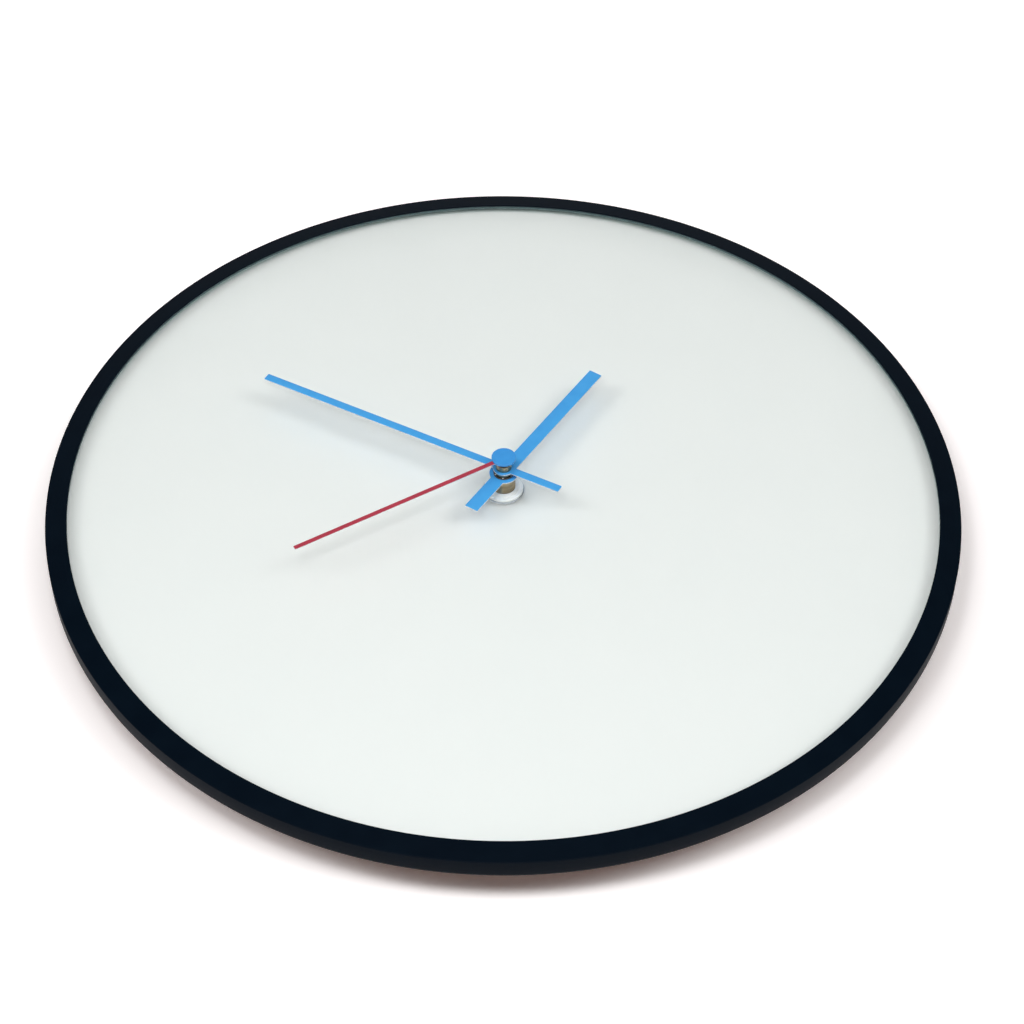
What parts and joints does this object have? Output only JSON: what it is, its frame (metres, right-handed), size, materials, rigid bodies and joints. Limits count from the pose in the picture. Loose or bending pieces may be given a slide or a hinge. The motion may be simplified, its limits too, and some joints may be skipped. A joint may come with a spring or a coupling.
{
  "type": "quartz wall clock",
  "caption": "Round clock with a slim black ring flush round a plain white glass dial, slim centre hands and a battery movement behind the dial.",
  "frame": {"origin": "on the hand arbor's axis, at the flat back of the movement case, which the clock rests on", "axes": "+Z out of the dial towards the viewer, +Y towards the top of the dial, +X towards three o'clock"},
  "size_m": [0.305, 0.305, 0.0386],
  "materials": {
    "black_ring_paint": "semi-matt powder coat on rolled aluminium",
    "spring_steel": "bare spring steel, lightly oiled",
    "clear_glass": "clear float glass with a polished arris",
    "white_backing_sheet": "white sheet, satin",
    "black_rubber": "matt moulded rubber",
    "plated_brass": "turned brass, satin nickel flash",
    "white_nut_finish": "white stove enamel",
    "zinc_plated_steel": "bright zinc plate",
    "black_case_plastic": "fine spark-eroded texture",
    "natural_wheel_plastic": "moulded, natural white",
    "board_laminate": "punched phenolic board",
    "black_epoxy": "cast epoxy blob",
    "copper_wire": "enamelled copper wire",
    "motor_iron": "punched soft iron lamination",
    "magnet_ferrite": "moulded ferrite",
    "nickel_contact": "nickel plated strip",
    "steel_arbor": "turned and burnished steel",
    "blue_hand_paint": "blue lacquer, satin",
    "red_hand_paint": "red lacquer, satin",
    "dark_collet": "blackened brass",
    "cell_wrapper": "plain printed can",
    "black_knob_plastic": "moulded, fluted edge"
  },
  "bodies": {
    "housing": {"bezel_ring": "black_ring_paint", "snap_ring": "spring_steel", "glass_dial": "clear_glass", "white_backing": "white_backing_sheet", "front_gasket": "black_rubber", "threaded_bushing": "plated_brass", "dial_nut": "white_nut_finish", "dial_washer": "zinc_plated_steel", "rubber_cushion": "black_rubber", "wall_hanger": "zinc_plated_steel", "rear_cover": "black_case_plastic", "front_housing": "black_case_plastic", "train_plate": "natural_wheel_plastic", "circuit_board": "board_laminate", "quartz_crystal": "nickel_contact", "clock_chip": "black_epoxy", "stator": "motor_iron", "coil_core": "motor_iron", "coil_bobbin": "natural_wheel_plastic", "coil_winding": "copper_wire", "coil_leads": "copper_wire", "positive_contact": "nickel_contact", "negative_contact": "nickel_contact"},
    "second": {"second_wheel": "natural_wheel_plastic", "second_arbor": "steel_arbor", "second_hand": "red_hand_paint", "second_hand_tube": "plated_brass", "hand_cap": "blue_hand_paint"},
    "rotor": {"rotor_pinion": "natural_wheel_plastic", "rotor_magnet": "magnet_ferrite"},
    "intermediate": {"intermediate_wheel": "natural_wheel_plastic"},
    "third": {"third_wheel": "natural_wheel_plastic"},
    "centre": {"centre_wheel": "natural_wheel_plastic"},
    "minute": {"minute_arbor": "plated_brass", "clutch_spring": "spring_steel", "minute_hand": "blue_hand_paint", "minute_hand_collet": "plated_brass", "minute_nut": "plated_brass"},
    "motion": {"motion_wheel": "natural_wheel_plastic"},
    "hour": {"hour_wheel": "natural_wheel_plastic", "hour_hand": "blue_hand_paint", "hour_hand_collet": "dark_collet"},
    "setting": {"setting_gear": "natural_wheel_plastic", "setting_knob": "black_knob_plastic"},
    "battery": {"battery_cell": "cell_wrapper", "battery_nub": "nickel_contact"}
  },
  "joints": [
    {"name": "second_turn", "type": "hinge", "parent": "housing", "child": "second", "pos_m": [0, 0, 0.01], "axis": [0, 0, -1], "continuous": true},
    {"name": "rotor_turn", "type": "hinge", "parent": "housing", "child": "rotor", "pos_m": [-0.01703, -0.00851, 0.01], "axis": [0, 0, -1], "continuous": true},
    {"name": "intermediate_turn", "type": "hinge", "parent": "housing", "child": "intermediate", "pos_m": [-0.01015, -0.00369, 0.01], "axis": [0, 0, -1], "continuous": true},
    {"name": "third_turn", "type": "hinge", "parent": "housing", "child": "third", "pos_m": [0.01015, 0.00369, 0.01], "axis": [0, 0, -1], "continuous": true},
    {"name": "centre_turn", "type": "hinge", "parent": "housing", "child": "centre", "pos_m": [0, 0, 0.01], "axis": [0, 0, -1], "continuous": true},
    {"name": "minute_turn", "type": "hinge", "parent": "housing", "child": "minute", "pos_m": [0, 0, 0.01], "axis": [0, 0, -1], "continuous": true},
    {"name": "motion_turn", "type": "hinge", "parent": "housing", "child": "motion", "pos_m": [0.00727, -0.0042, 0.01], "axis": [0, 0, -1], "continuous": true},
    {"name": "hour_turn", "type": "hinge", "parent": "housing", "child": "hour", "pos_m": [0, 0, 0.01], "axis": [0, 0, -1], "continuous": true},
    {"name": "setting_turn", "type": "hinge", "parent": "housing", "child": "setting", "pos_m": [0.01615, -0.00743, 0.01], "axis": [0, 0, -1], "continuous": true},
    {"name": "battery_removal", "type": "slide", "parent": "housing", "child": "battery", "axis": [0, 0, -1], "range_m": [0, 0.02]}
  ],
  "couplings": [
    {"joint": "intermediate_turn", "follows": "second_turn", "ratio": -5},
    {"joint": "rotor_turn", "follows": "second_turn", "ratio": 30},
    {"joint": "third_turn", "follows": "second_turn", "ratio": -0.125},
    {"joint": "centre_turn", "follows": "second_turn", "ratio": 0.016667},
    {"joint": "motion_turn", "follows": "minute_turn", "ratio": -0.33333},
    {"joint": "hour_turn", "follows": "minute_turn", "ratio": 0.083333},
    {"joint": "setting_turn", "follows": "minute_turn", "ratio": 0.66667}
  ]
}
